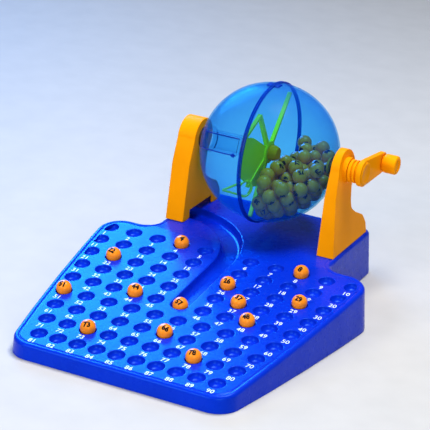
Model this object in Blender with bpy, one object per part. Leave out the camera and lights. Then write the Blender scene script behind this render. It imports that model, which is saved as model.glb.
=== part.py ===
"""Tabletop bingo cage: a clear globe on two supports, over a tray with ninety ball pockets.

Metres, +Z up, +X to the right (the crank's side), +Y to the back.  The origin is on the
table, under the middle of the whole object.  The tray's board slopes up to the back and
meets a level platform that carries the supports.
"""
import math

import bmesh
import bpy
import numpy as np
from mathutils import Matrix, Vector

MM = 0.001
GAP = 0.3 * MM

# The globe's axle, which the other places are measured from
AXLE_Y = 84.25 * MM
AXLE_Z = 89.7 * MM

# Balls and the board's pockets
BALL_R = 5.3 * MM
BALL_COUNT = 90
ROWS = 9
COLUMNS = 10
SPLIT_ROWS = 5            # rows at the back that leave a gap for the channel
ROW_PITCH = 18.1 * MM
FRONT_ROW_HALF = 65.0 * MM
BACK_ROW_HALF = 93.9 * MM
ROW_BULGE = 3.1 * MM
GAP_HALF = 17.7 * MM      # middle of the innermost pockets beside the gap
POCKET_R = 5.6 * MM
POCKET_FLOOR_R = 3.0 * MM
POCKET_DEPTH = 3.8 * MM
POCKET_SIDES = 8

# Tray
TILT = math.radians(7.0)
FRONT_ROW_Y = AXLE_Y - 202.65 * MM
FRONT_ROW_Z = 12.8 * MM
CREASE_Y = AXLE_Y - 44.2 * MM      # where the sloping board meets the level platform
PLATFORM_Z = FRONT_ROW_Z + (CREASE_Y - FRONT_ROW_Y) * math.tan(TILT)
BOARD_FRONT_Y = FRONT_ROW_Y - 16.25 * MM
PLATFORM_BACK_Y = AXLE_Y + 40.5 * MM
BOARD_FRONT_HALF = 79.0 * MM
BOARD_BACK_HALF = 104.6 * MM
PLATFORM_HALF = 67.6 * MM
BOARD_BULGE = 2.2 * MM
WALL = 2.0 * MM
DRAFT = 0.075             # outward run of the side walls, per unit of height
EDGE = 2.0 * MM           # chamfer round the top edge

# Channel that brings a drawn ball to the front
CHANNEL_HALF = 6.4 * MM
CHANNEL_MOUTH_HALF = 10.2 * MM
CHANNEL_DEPTH = 6.2 * MM
CHANNEL_END_Y = AXLE_Y - 129.7 * MM
CHANNEL_BEND = Vector((-65.3 * MM, AXLE_Y - 69.5 * MM))
CHANNEL_FALL = 0.02       # slope of its floor across the level platform

# Globe
GLOBE_R = 50.0 * MM
SHELL = 1.2 * MM
SEAM_R = 51.2 * MM
SEAM_HALF = 1.4 * MM
SEGMENTS = 36
TUBE_R = 7.5 * MM
TUBE_BORE = 6.0 * MM
TUBE_START_X = -57.0 * MM
TUBE_END_X = -16.0 * MM
SHAFT_R = 3.0 * MM
FLANGE_R = 6.0 * MM
FLANGE_X = 45.9 * MM

# Door in the left half: a strip of the shell, hinged at the end nearer the pole
DOOR_ANGLE = math.radians(20.0)   # of its middle, above the front horizontal
DOOR_HALF = 6.6 * MM
DOOR_X = (-38.0 * MM, -4.0 * MM)
DOOR_HINGE_IN = 2.2 * MM          # from the strip's end to the hinge's axis

# Supports
SUPPORT_INNER_X = 52.9 * MM
LEFT_THICK = 14.0 * MM
RIGHT_THICK = 12.6 * MM
RIGHT_LEAN = 0.10         # how fast the right support's outer face leans in, per unit of height
HEAD_R = 14.4 * MM
COVER = 1.1 * MM
FOOT_Z = PLATFORM_Z + GAP

# Selector; places on it are (back, up) or (right, back, up) from the axle
SELECTOR_X = (-3.0 * MM, 0.0)
HUB_CAP_X = 6.7 * MM
RING_AT = (-1.6 * MM, -35.4 * MM, -16.5 * MM)
RING_OUTER = 6.3 * MM
RING_INNER = 5.0 * MM
RING_TURN = math.radians(28.0)
HEAP_LEAN = (0.10, 0.14)
RING_SWEEP_X = 2.6 * MM     # the turned ring's right edge, as the cage spins
LOOP_TIP = (-17.5 * MM, -37.5 * MM, -20.5 * MM)

# Crank
BOSS_END_X = 62.4 * MM
HUB_START_X = 62.8 * MM
HUB_END_X = 74.2 * MM
CRANK_LENGTH = 33.6 * MM
CRANK_DROP = math.radians(4.0)
KNOB_R = 6.8 * MM
KNOB_START_X = 74.0 * MM
KNOB_END_X = 84.6 * MM
PIN_R = 2.0 * MM

# Balls on show
CALLED = (4, 8, 22, 26, 29, 37, 44, 48, 51, 66, 73, 78)
CAGE_BALLS = BALL_COUNT - len(CALLED) - 1
CAGE_BALL_NODES = 26

BLUE = (0.01, 0.07, 0.72, 1.0)
CLEAR_BLUE = (0.05, 0.35, 0.95, 1.0)
YELLOW = (0.93, 0.52, 0.01, 1.0)
LIME = (0.45, 0.80, 0.08, 1.0)
ORANGE = (0.93, 0.42, 0.06, 1.0)


# ---------------------------------------------------------------- helpers

def clear_scene():
    for item in list(bpy.data.objects):
        bpy.data.objects.remove(item, do_unlink=True)


def make_material(name, colour, roughness=0.25, alpha=1.0):
    material = bpy.data.materials.new(name)
    material.use_nodes = True
    shader = material.node_tree.nodes["Principled BSDF"]
    shader.inputs["Base Color"].default_value = colour
    shader.inputs["Roughness"].default_value = roughness
    shader.inputs["Alpha"].default_value = alpha
    return material


def link_mesh(name, bm, colour, alpha=1.0):
    """Close off a bmesh as a named object with its own material, faces pointing out."""
    bmesh.ops.remove_doubles(bm, verts=bm.verts, dist=1e-6)
    bmesh.ops.recalc_face_normals(bm, faces=bm.faces)
    mesh = bpy.data.meshes.new(name)
    bm.to_mesh(mesh)
    bm.free()
    mesh.shade_smooth()
    mesh.set_sharp_from_angle(angle=math.radians(35))
    item = bpy.data.objects.new(name, mesh)
    bpy.context.scene.collection.objects.link(item)
    mesh.materials.append(make_material(name, colour, alpha=alpha))
    return item


def combine(item, other, operation):
    """Apply one exact Boolean and remove the other object."""
    modifier = item.modifiers.new("cut", "BOOLEAN")
    modifier.object = other
    modifier.operation = operation
    modifier.solver = "EXACT"
    graph = bpy.context.evaluated_depsgraph_get()
    mesh = bpy.data.meshes.new_from_object(item.evaluated_get(graph))
    item.modifiers.clear()
    item.data = mesh
    bpy.data.objects.remove(other, do_unlink=True)


def add_lathe(bm, profile, centre=(0.0, AXLE_Y, AXLE_Z), steps=SEGMENTS):
    """Turn a closed profile of (x, radius) points about an axis along X."""
    rings = []
    for x, radius in profile:
        turns = steps if radius > 0 else 1
        ring = []
        for step in range(turns):
            angle = 2 * math.pi * step / steps
            ring.append(bm.verts.new((centre[0] + x,
                                      centre[1] + radius * math.cos(angle),
                                      centre[2] + radius * math.sin(angle))))
        rings.append(ring)
    for ring, after in zip(rings, rings[1:] + rings[:1]):
        if len(ring) == 1 and len(after) == 1:
            continue
        for step in range(steps):
            corners = [ring[step % len(ring)], ring[(step + 1) % len(ring)],
                       after[(step + 1) % len(after)], after[step % len(after)]]
            unique = list(dict.fromkeys(corners))
            bm.faces.new(unique)


def lathe(name, profile, colour, steps=SEGMENTS, centre=(0.0, AXLE_Y, AXLE_Z), alpha=1.0):
    bm = bmesh.new()
    add_lathe(bm, profile, centre, steps)
    return link_mesh(name, bm, colour, alpha)


def add_prism(bm, outline, low, high):
    """Extrude an outline of (y, z) points along X; low and high may depend on (y, z)."""
    ends = []
    for bound in (low, high):
        ends.append([bm.verts.new((bound(y, z) if callable(bound) else bound, y, z))
                     for y, z in outline])
    count = len(outline)
    for index in range(count):
        after = (index + 1) % count
        bm.faces.new((ends[0][index], ends[0][after], ends[1][after], ends[1][index]))
    bm.faces.new(ends[0])
    bm.faces.new(ends[1])


def prism(name, outline, low, high, colour):
    bm = bmesh.new()
    add_prism(bm, outline, low, high)
    return link_mesh(name, bm, colour)


def box_outline(y0, y1, z0, z1):
    return [(y0, z0), (y1, z0), (y1, z1), (y0, z1)]


def arc(centre, radius, start, end, steps):
    """Points on an arc in degrees, both ends included."""
    points = []
    for step in range(steps + 1):
        angle = math.radians(start + (end - start) * step / steps)
        points.append((centre[0] + radius * math.cos(angle),
                       centre[1] + radius * math.sin(angle)))
    return points


def round_corners(corners, steps=5):
    """Turn (x, y, radius) corners into an outline whose corners are arcs."""
    outline = []
    for index, (x, y, radius) in enumerate(corners):
        here = Vector((x, y))
        if radius <= 0:
            outline.append(here)
            continue
        before = (Vector(corners[index - 1][:2]) - here).normalized()
        after = (Vector(corners[(index + 1) % len(corners)][:2]) - here).normalized()
        half = before.angle(after) / 2
        centre = here + (before + after).normalized() * radius / math.sin(half)
        first = here + before * radius / math.tan(half) - centre
        last = here + after * radius / math.tan(half) - centre
        sweep = first.angle_signed(last)
        for step in range(steps + 1):
            spot = first.copy()
            spot.rotate(Matrix.Rotation(-sweep * step / steps, 2))
            outline.append(centre + spot)
    return outline


def offset_outline(outline, distance):
    """Move an anticlockwise outline outward along its corner normals."""
    moved = []
    for index, here in enumerate(outline):
        before = (here - outline[index - 1]).normalized()
        after = (outline[(index + 1) % len(outline)] - here).normalized()
        normal = Vector((before.y + after.y, -before.x - after.x)).normalized()
        stretch = max(normal.dot(Vector((before.y, -before.x))), 0.5)
        moved.append(here + normal * distance / stretch)
    return moved


# ---------------------------------------------------------------- tray

def surface_z(y):
    """Height of the tray's top: a slope up to the crease, then level."""
    return PLATFORM_Z + min(y - CREASE_Y, 0.0) * math.tan(TILT)


def on_board(x, along, above):
    """World point from the place on the sloping board and the height square to it."""
    return Vector((x,
                   FRONT_ROW_Y + along * math.cos(TILT) - above * math.sin(TILT),
                   FRONT_ROW_Z + along * math.sin(TILT) + above * math.cos(TILT)))


def tray_outline():
    right = [(BOARD_FRONT_HALF, BOARD_FRONT_Y, 16 * MM)]
    for share in (0.25, 0.5, 0.75):
        width = BOARD_FRONT_HALF + (BOARD_BACK_HALF - BOARD_FRONT_HALF) * share
        width += BOARD_BULGE * 4 * share * (1 - share)
        right.append((width, BOARD_FRONT_Y + (CREASE_Y - BOARD_FRONT_Y) * share, 0.0))
    right.append((BOARD_BACK_HALF, CREASE_Y, 17 * MM))
    right.append((PLATFORM_HALF, CREASE_Y, 11 * MM))
    right.append((PLATFORM_HALF, PLATFORM_BACK_Y, 8 * MM))
    left = [(-x, y, radius) for x, y, radius in reversed(right)]
    return round_corners(right + left)


def stacked_rings(name, rings, colour):
    """Join rings of points from the bottom up; the top splits into slope and platform."""
    bm = bmesh.new()
    levels = [[bm.verts.new(point) for point in ring] for ring in rings]
    count = len(rings[0])
    for low, high in zip(levels, levels[1:]):
        for index in range(count):
            after = (index + 1) % count
            bm.faces.new((low[index], low[after], high[after], high[index]))
    bm.faces.new(levels[0])
    top = bm.faces.new(levels[-1])
    bmesh.ops.triangulate(bm, faces=[top])
    item = link_mesh(name, bm, colour)
    return item


def split_at_crease(outline):
    """Add the two points where the outline crosses the crease line."""
    result = []
    for index, here in enumerate(outline):
        after = outline[(index + 1) % len(outline)]
        result.append(here)
        low, high = sorted((here.y, after.y))
        if low < CREASE_Y - 1e-5 and high > CREASE_Y + 1e-5:
            result.append(here.lerp(after, (CREASE_Y - here.y) / (after.y - here.y)))
    return result


def tray_block(name, inset, drop, floor):
    """The tray's outer form, or the hollow under it when inset and drop are a wall thick."""
    outline = split_at_crease(offset_outline(tray_outline(), -inset))
    shrunk = offset_outline(outline, -EDGE)
    bottom = []
    for spot, out in zip(outline, offset_outline(outline, 1.0)):
        run = (surface_z(spot.y) - floor) * DRAFT
        bottom.append((spot.x + (out.x - spot.x) * run, spot.y + (out.y - spot.y) * run, floor))
    shoulder = [(p.x, p.y, surface_z(p.y) - drop - EDGE) for p in outline]
    top = [(p.x, p.y, surface_z(p.y) - drop) for p in shrunk]
    return stacked_rings(name, [bottom, shoulder, top], BLUE)


def pocket_spot(number):
    """Place of a numbered pocket on the board: across, and along from the front row."""
    row, column = divmod(number - 1, COLUMNS)
    share = 1 - row / (ROWS - 1)
    half = FRONT_ROW_HALF + (BACK_ROW_HALF - FRONT_ROW_HALF) * share
    half += ROW_BULGE * 4 * share * (1 - share)
    if row < SPLIT_ROWS:
        rank = column - 5 if column > 4 else 4 - column
        across = GAP_HALF + (half - GAP_HALF) * rank / 4
        across = across if column > 4 else -across
    else:
        across = half * (2 * column / (COLUMNS - 1) - 1)
    return across, (ROWS - 1 - row) * ROW_PITCH


def board_studs(name, rings):
    """One short many-sided stud at every pocket, from (height, radius) rings."""
    bm = bmesh.new()
    for number in range(1, BALL_COUNT + 1):
        across, along = pocket_spot(number)
        levels = []
        for height, radius in rings:
            level = []
            for step in range(POCKET_SIDES):
                angle = 2 * math.pi * (step + 0.5) / POCKET_SIDES
                level.append(bm.verts.new(on_board(across + radius * math.cos(angle),
                                                   along + radius * math.sin(angle), height)))
            levels.append(level)
        for low, high in zip(levels, levels[1:]):
            for step in range(POCKET_SIDES):
                after = (step + 1) % POCKET_SIDES
                bm.faces.new((low[step], low[after], high[after], high[step]))
        bm.faces.new(levels[0])
        bm.faces.new(levels[-1])
    return link_mesh(name, bm, BLUE)


def channel_stations():
    """Middle, sideways direction and half width along the channel, from its closed end."""
    stations = []
    for degrees in (78, 52, 26):
        turn = math.radians(degrees)
        middle = Vector((0.0, CHANNEL_END_Y - CHANNEL_HALF * math.sin(turn)))
        stations.append((middle, Vector((1, 0)), CHANNEL_HALF * math.cos(turn)))
    for step in range(3):
        y = CHANNEL_END_Y + (CHANNEL_BEND.y - CHANNEL_END_Y) * step / 3
        stations.append((Vector((0.0, y)), Vector((1, 0)), CHANNEL_HALF))
    steps = 9
    for step in range(steps + 1):
        share = step / steps
        angle = math.radians(89.6 * share)
        outward = Vector((math.cos(angle), math.sin(angle)))
        half = CHANNEL_HALF + (CHANNEL_MOUTH_HALF - CHANNEL_HALF) * share
        stations.append((CHANNEL_BEND - outward * CHANNEL_BEND.x, outward, half))
    return stations


def channel_floor_z(y):
    rise = max(y - CREASE_Y, 0.0) * CHANNEL_FALL
    return surface_z(y) - CHANNEL_DEPTH + rise


def channel_block(name, wall, top):
    """The channel's space, or the trough around it when a wall is given."""
    bm = bmesh.new()
    levels = []
    for middle, outward, half in channel_stations():
        low = middle - outward * (half + wall)
        high = middle + outward * (half + wall)
        floor = channel_floor_z(middle.y) - wall
        roof = surface_z(middle.y) + top
        levels.append([bm.verts.new((low.x, low.y, floor)), bm.verts.new((high.x, high.y, floor)),
                       bm.verts.new((high.x, high.y, roof)), bm.verts.new((low.x, low.y, roof))])
    for near, far in zip(levels, levels[1:]):
        for side in range(4):
            after = (side + 1) % 4
            bm.faces.new((near[side], near[after], far[after], far[side]))
    bm.faces.new(levels[0])
    bm.faces.new(levels[-1])
    return link_mesh(name, bm, BLUE)


TAB_HALF = 4.0 * MM
TAB_THICK = 1.6 * MM
TAB_BELOW = 5.0 * MM
TAB_YS = (AXLE_Y - 21.4 * MM, AXLE_Y + 26.1 * MM)


def tab_box(name, side, y, grow):
    """A support's tab, or the slot it drops into when grown by a gap."""
    x = side * (SUPPORT_INNER_X + 1.1 * MM)
    low = x - TAB_THICK / 2 - grow
    high = x + TAB_THICK / 2 + grow
    outline = box_outline(y - TAB_HALF - grow, y + TAB_HALF + grow,
                          PLATFORM_Z - TAB_BELOW - grow, FOOT_Z + 3 * MM)
    return prism(name, outline, low, high, BLUE)


def build_tray():
    tray = tray_block("base_tray", 0.0, 0.0, 0.0)
    combine(tray, tray_block("hollow", WALL, WALL, -1 * MM), "DIFFERENCE")
    combine(tray, board_studs("cups", ((-POCKET_DEPTH - WALL, POCKET_FLOOR_R + 0.6 * WALL),
                                       (-0.6 * WALL, POCKET_R + 0.7 * WALL))), "UNION")
    combine(tray, channel_block("trough", WALL, -0.6 * WALL), "UNION")
    combine(tray, board_studs("pockets", ((-POCKET_DEPTH, POCKET_FLOOR_R),
                                          (1 * MM, POCKET_R + 0.6 * MM))), "DIFFERENCE")
    combine(tray, channel_block("channel", 0.0, 6 * MM), "DIFFERENCE")
    for side in (-1, 1):
        for y in TAB_YS:
            combine(tray, tab_box("slot", side, y, GAP), "DIFFERENCE")
    return tray


# ---------------------------------------------------------------- supports

def support_profile(inset=0.0):
    """Side view of a support as (y, z): a long foot, a column and a round head."""
    head = arc((AXLE_Y, AXLE_Z), HEAD_R, -22, 172, 14)
    foot = [(-27.2, 0), (32.8, 0), (31.7, 8), (26.6, 15.2), (13.6, 21.6), (6.7, 26.5),
            (5.7, 33.0), (7.5, 43.0)]
    points = [Vector((AXLE_Y + y * MM, FOOT_Z + z * MM)) for y, z in foot]
    points += [Vector(point) for point in head]
    points.append(Vector((AXLE_Y - 21.0 * MM, FOOT_Z + 41.5 * MM)))
    return offset_outline(points, -inset) if inset else points


def pairs(points):
    return [(point.x, point.y) for point in points]


def axle_hole(name, low, high, radius):
    return lathe(name, [(low, 0.0), (low, radius), (high, radius), (high, 0.0)], BLUE, steps=24)


def open_bottom(outline, depth):
    """Deepen an outline between its two lowest points, so its hollow is open underneath."""
    (front, low), (back, _) = outline[:2]
    return [outline[0], (front, low - depth), (back, low - depth)] + outline[1:]


def build_left_support():
    outer_x = -SUPPORT_INNER_X - LEFT_THICK
    support = prism("left_support", pairs(support_profile()), outer_x, -SUPPORT_INNER_X, YELLOW)
    hollow = open_bottom(pairs(support_profile(1.7 * MM)), 4 * MM)
    inner_wall_x = -SUPPORT_INNER_X - 1.4 * MM
    combine(support, prism("hollow", hollow, outer_x - 1 * MM, inner_wall_x, YELLOW), "DIFFERENCE")
    arch = box_outline(AXLE_Y - 16.4 * MM, AXLE_Y + 19.6 * MM, FOOT_Z - 1 * MM, FOOT_Z + 6 * MM)
    combine(support, prism("arch", arch, inner_wall_x - 2 * MM, -SUPPORT_INNER_X + 1 * MM, YELLOW),
            "DIFFERENCE")
    combine(support, axle_hole("bore", inner_wall_x - 2 * MM, -SUPPORT_INNER_X + 1 * MM,
                               TUBE_R + GAP), "DIFFERENCE")
    for y in TAB_YS:
        tab = tab_box("tab", -1, y, 0.0)
        combine(support, tab, "UNION")
    return support


def build_left_cover():
    outer_x = -SUPPORT_INNER_X - LEFT_THICK
    outline = pairs(support_profile(1.7 * MM + GAP))
    return prism("left_support_cover", outline, outer_x, outer_x + COVER, YELLOW)


def right_face(_, z):
    return SUPPORT_INNER_X + RIGHT_THICK - (z - FOOT_Z) * RIGHT_LEAN


def build_right_support():
    support = prism("right_support", pairs(support_profile()), SUPPORT_INNER_X, right_face, YELLOW)
    hollow = open_bottom([point for point in pairs(support_profile(1.7 * MM))
                          if point[1] < FOOT_Z + 42 * MM], 4 * MM)
    combine(support, prism("hollow", hollow, SUPPORT_INNER_X + 1.6 * MM,
                           lambda y, z: right_face(y, z) - 1.6 * MM, YELLOW), "DIFFERENCE")
    boss = lathe("boss", [(SUPPORT_INNER_X + 2 * MM, 0.0), (SUPPORT_INNER_X + 2 * MM, 9 * MM),
                          (BOSS_END_X, 9 * MM), (BOSS_END_X, 0.0)], YELLOW, steps=28)
    combine(support, boss, "UNION")
    combine(support, axle_hole("bore", SUPPORT_INNER_X - 2 * MM, BOSS_END_X + 2 * MM,
                               SHAFT_R + GAP), "DIFFERENCE")
    for y in TAB_YS:
        combine(support, tab_box("tab", 1, y, 0.0), "UNION")
    return support


# ---------------------------------------------------------------- globe

def shell_profile(side, pole_bore):
    """Half a globe as (x, radius): outer skin, seam rim, inner skin, and a bore at the pole."""
    inner = GLOBE_R - SHELL
    steps = 8
    seam = GAP / 2
    skins = []
    for radius, rim in ((GLOBE_R, SEAM_HALF), (inner, seam)):
        first = math.asin(pole_bore / radius)
        last = math.acos(rim / radius)
        skins.append([(radius * math.cos(first + (last - first) * step / steps),
                       radius * math.sin(first + (last - first) * step / steps))
                      for step in range(steps + 1)])
    rim = [(SEAM_HALF, SEAM_R), (seam, SEAM_R)]
    profile = skins[0] + rim + skins[1][::-1]
    return [(side * x, radius) for x, radius in profile]


def door_space(name, shrink):
    """Block through the front of the shell, straight out along the door's middle."""
    bm = bmesh.new()
    half = DOOR_HALF - shrink
    outline = [(x, side) for x, side in ((DOOR_X[0] + shrink, -half), (DOOR_X[1] - shrink, -half),
                                         (DOOR_X[1] - shrink, half), (DOOR_X[0] + shrink, half))]
    levels = [[bm.verts.new((x, AXLE_Y - out * math.cos(DOOR_ANGLE) + side * math.sin(DOOR_ANGLE),
                             AXLE_Z + out * math.sin(DOOR_ANGLE) + side * math.cos(DOOR_ANGLE)))
               for x, side in outline] for out in (20 * MM, 60 * MM)]
    for index in range(4):
        after = (index + 1) % 4
        bm.faces.new((levels[0][index], levels[0][after], levels[1][after], levels[1][index]))
    bm.faces.new(levels[0])
    bm.faces.new(levels[1])
    return link_mesh(name, bm, CLEAR_BLUE)


def door_hinge():
    """Middle of the hinge's axis, on the shell's outer surface."""
    x = DOOR_X[0] + DOOR_HINGE_IN
    out = math.sqrt(GLOBE_R ** 2 - x ** 2) - SHELL / 2
    return Vector((x, AXLE_Y - out * math.cos(DOOR_ANGLE), AXLE_Z + out * math.sin(DOOR_ANGLE)))


def build_globe():
    left = lathe("cage_left_half", shell_profile(-1, TUBE_R + GAP), CLEAR_BLUE, alpha=0.4)
    combine(left, door_space("space", 0.0), "DIFFERENCE")
    door = lathe("cage_door", shell_profile(-1, TUBE_R + GAP), CLEAR_BLUE, alpha=0.4)
    combine(door, door_space("strip", GAP), "INTERSECT")
    lathe("cage_right_half", shell_profile(1, SHAFT_R + GAP), CLEAR_BLUE, alpha=0.4)


def build_exit_tube():
    """The hollow axle: a drawn ball rolls through it into the left support."""
    collar_x = -math.sqrt((GLOBE_R - SHELL) ** 2 - (TUBE_R + 2 * MM) ** 2) + 0.8 * MM
    profile = [(TUBE_START_X, TUBE_BORE), (TUBE_START_X, TUBE_R), (collar_x, TUBE_R),
               (collar_x, TUBE_R + 2 * MM), (collar_x + 1.2 * MM, TUBE_R + 2 * MM),
               (collar_x + 1.2 * MM, TUBE_R), (TUBE_END_X, TUBE_R), (TUBE_END_X, TUBE_BORE)]
    lathe("exit_tube", profile, CLEAR_BLUE, steps=24, alpha=0.5)


def build_drive_shaft():
    """From its flange inside the right pole, through the right support, to the crank."""
    collar_x = math.sqrt((GLOBE_R - SHELL) ** 2 - FLANGE_R ** 2) - 0.9 * MM
    end_x = HUB_END_X - 2.4 * MM
    profile = [(FLANGE_X, 0.0), (FLANGE_X, FLANGE_R), (collar_x, FLANGE_R), (collar_x, SHAFT_R),
               (end_x, SHAFT_R), (end_x, 0.0)]
    lathe("drive_shaft", profile, YELLOW, steps=16)


def build_selector_hub():
    """Cap on the right of the selector, over its middle."""
    profile = [(SELECTOR_X[1] + GAP, 0.0), (SELECTOR_X[1] + GAP, 5.6 * MM),
               (3.6 * MM, 5.6 * MM), (HUB_CAP_X, 4.4 * MM), (HUB_CAP_X, 0.0)]
    lathe("selector_hub", profile, YELLOW, steps=16)


# ---------------------------------------------------------------- selector

def bar(start, end, half):
    """Outline of a straight bar between two (y, z) points measured from the axle."""
    first = Vector((start[0] + AXLE_Y, start[1] + AXLE_Z))
    last = Vector((end[0] + AXLE_Y, end[1] + AXLE_Z))
    along = (last - first).normalized() * half
    side = Vector((-along.y, along.x))
    return pairs([first - along - side, last + along - side, last + along + side,
                  first - along + side])


def build_selector():
    """Flat lime wheel: arms out to the shell, braces, and the fin that guides a ball inward."""
    low, high = SELECTOR_X
    apex = (-18.0 * MM, 32.3 * MM)
    back_tip = (30.9 * MM, 34.9 * MM)
    low_tip = (-23.2 * MM, -40.3 * MM)
    elbow = (-17.6 * MM, -20.7 * MM)
    front_tip = (-40.6 * MM, 22.4 * MM)
    ring_root = (-31.2 * MM, -15.9 * MM)
    selector = axle_hole("selector", low, high, 8.0 * MM)
    bars = (((-1.0 * MM, 3.0 * MM), apex, 1.3 * MM),
            ((3.0 * MM, 3.4 * MM), back_tip, 1.2 * MM),
            ((-2.0 * MM, -3.0 * MM), low_tip, 1.4 * MM),
            (apex, front_tip, 1.15 * MM),
            ((-3.0 * MM, -1.0 * MM), ring_root, 1.25 * MM))
    for rank, (start, end, half) in enumerate(bars, start=1):
        slim = rank * 0.06 * MM
        piece = prism("bar", bar(start, end, half), low + slim, high - slim, LIME)
        combine(selector, piece, "UNION")
    fin = [front_tip, (-27.4 * MM, 18.8 * MM), (-5.0 * MM, 5.6 * MM), (-2.0 * MM, -2.0 * MM),
           elbow, ring_root, (-33.6 * MM, -11.2 * MM), (-36.9 * MM, -10.9 * MM),
           (-46.2 * MM, -4.0 * MM), (-45.4 * MM, 9.0 * MM)]
    fin = [(y + AXLE_Y, z + AXLE_Z) for y, z in fin]
    combine(selector, prism("fin", fin, low + 0.9 * MM, high - 0.9 * MM, LIME), "UNION")
    add_ring(selector)


def add_ring(selector):
    """Open ring that lifts one ball, with a pointed loop that stops it on the left."""
    centre = Vector((RING_AT[0], AXLE_Y + RING_AT[1], AXLE_Z + RING_AT[2]))
    half = 1.2 * MM
    profile = [(-half, RING_INNER), (-half, RING_OUTER), (half, RING_OUTER), (half, RING_INNER)]
    ring = lathe("ring", profile, LIME, steps=20, centre=centre)
    ring.data.transform(Matrix.Translation(centre) @ Matrix.Rotation(-RING_TURN, 4, "Z")
                        @ Matrix.Translation(-centre))
    combine(selector, ring, "UNION")
    for sign in (-1, 1):
        bm = bmesh.new()
        root = centre + Vector((0.0, 0.0, sign * (RING_OUTER - 0.6 * MM)))
        tip = Vector((LOOP_TIP[0], AXLE_Y + LOOP_TIP[1], AXLE_Z + LOOP_TIP[2]))
        tip += Vector((0.2 * sign * MM, 0.0, 0.1 * sign * MM))
        add_rod(bm, root, tip, (0.8 + 0.04 * sign) * MM)
        combine(selector, link_mesh("loop", bm, LIME), "UNION")


def add_rod(bm, start, end, radius, sides=6):
    """Straight round rod between two points."""
    axis = (end - start)
    turn = axis.to_track_quat("Z", "Y").to_matrix().to_4x4()
    place = Matrix.Translation((start + end) / 2) @ turn
    bmesh.ops.create_cone(bm, cap_ends=True, segments=sides, radius1=radius, radius2=radius,
                          depth=axis.length, matrix=place)


# ---------------------------------------------------------------- crank

def build_crank_arm():
    """Stepped hub on the shaft, with the flat arm that runs back to the knob."""
    ribs = [(HUB_START_X, SHAFT_R + GAP), (HUB_START_X, 8.2 * MM)]
    for start in (65.2 * MM, 68.0 * MM):
        ribs += [(start, 8.2 * MM), (start, 7.0 * MM), (start + 1 * MM, 7.0 * MM),
                 (start + 1 * MM, 8.2 * MM)]
    ribs += [(HUB_END_X - 0.8 * MM, 8.2 * MM), (HUB_END_X, 7.4 * MM), (HUB_END_X, 0.0),
             (HUB_END_X - 2.0 * MM, 0.0), (HUB_END_X - 2.0 * MM, SHAFT_R + GAP)]
    crank = lathe("crank_arm", ribs, YELLOW, steps=20)
    tip_y = AXLE_Y + CRANK_LENGTH * math.cos(CRANK_DROP)
    tip_z = AXLE_Z - CRANK_LENGTH * math.sin(CRANK_DROP)
    near = arc((AXLE_Y, AXLE_Z), 9.6 * MM, 78, 274, 12)
    far = arc((tip_y, tip_z), 7.6 * MM, -94, 86, 10)
    arm = prism("arm", near + far, 69.6 * MM, 73.4 * MM, YELLOW)
    combine(arm, axle_hole("clear", 69 * MM, 74 * MM, 6.4 * MM), "DIFFERENCE")
    combine(crank, arm, "UNION")
    combine(crank, lathe("bore", [(68 * MM, 0.0), (68 * MM, PIN_R + GAP / 2),
                                  (75 * MM, PIN_R + GAP / 2), (75 * MM, 0.0)],
                         YELLOW, steps=12, centre=(0.0, tip_y, tip_z)), "DIFFERENCE")
    return tip_y, tip_z


def build_knob(tip_y, tip_z):
    centre = (0.0, tip_y, tip_z)
    start = KNOB_START_X
    bore = PIN_R + GAP
    profile = [(start, bore), (start, KNOB_R - 0.8 * MM), (start + 2 * MM, KNOB_R),
               (KNOB_END_X - 1.6 * MM, KNOB_R), (KNOB_END_X, KNOB_R - 1.6 * MM),
               (KNOB_END_X, 3.9 * MM), (KNOB_END_X - 2.2 * MM, 3.9 * MM),
               (KNOB_END_X - 2.2 * MM, bore)]
    lathe("crank_knob", profile, YELLOW, steps=24, centre=centre)
    pin = [(69.8 * MM, 0.0), (69.8 * MM, PIN_R - GAP / 2), (KNOB_END_X - 1.9 * MM, PIN_R - GAP / 2),
           (KNOB_END_X - 1.9 * MM, 3.4 * MM), (KNOB_END_X - 0.7 * MM, 3.4 * MM),
           (KNOB_END_X - 0.7 * MM, 0.0)]
    lathe("knob_pin", pin, YELLOW, steps=12, centre=centre)


# ---------------------------------------------------------------- balls

def build_ball(name, centre):
    bm = bmesh.new()
    bmesh.ops.create_icosphere(bm, subdivisions=2, radius=BALL_R)
    ball = link_mesh(name, bm, ORANGE)
    ball.location = centre
    return ball


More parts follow.
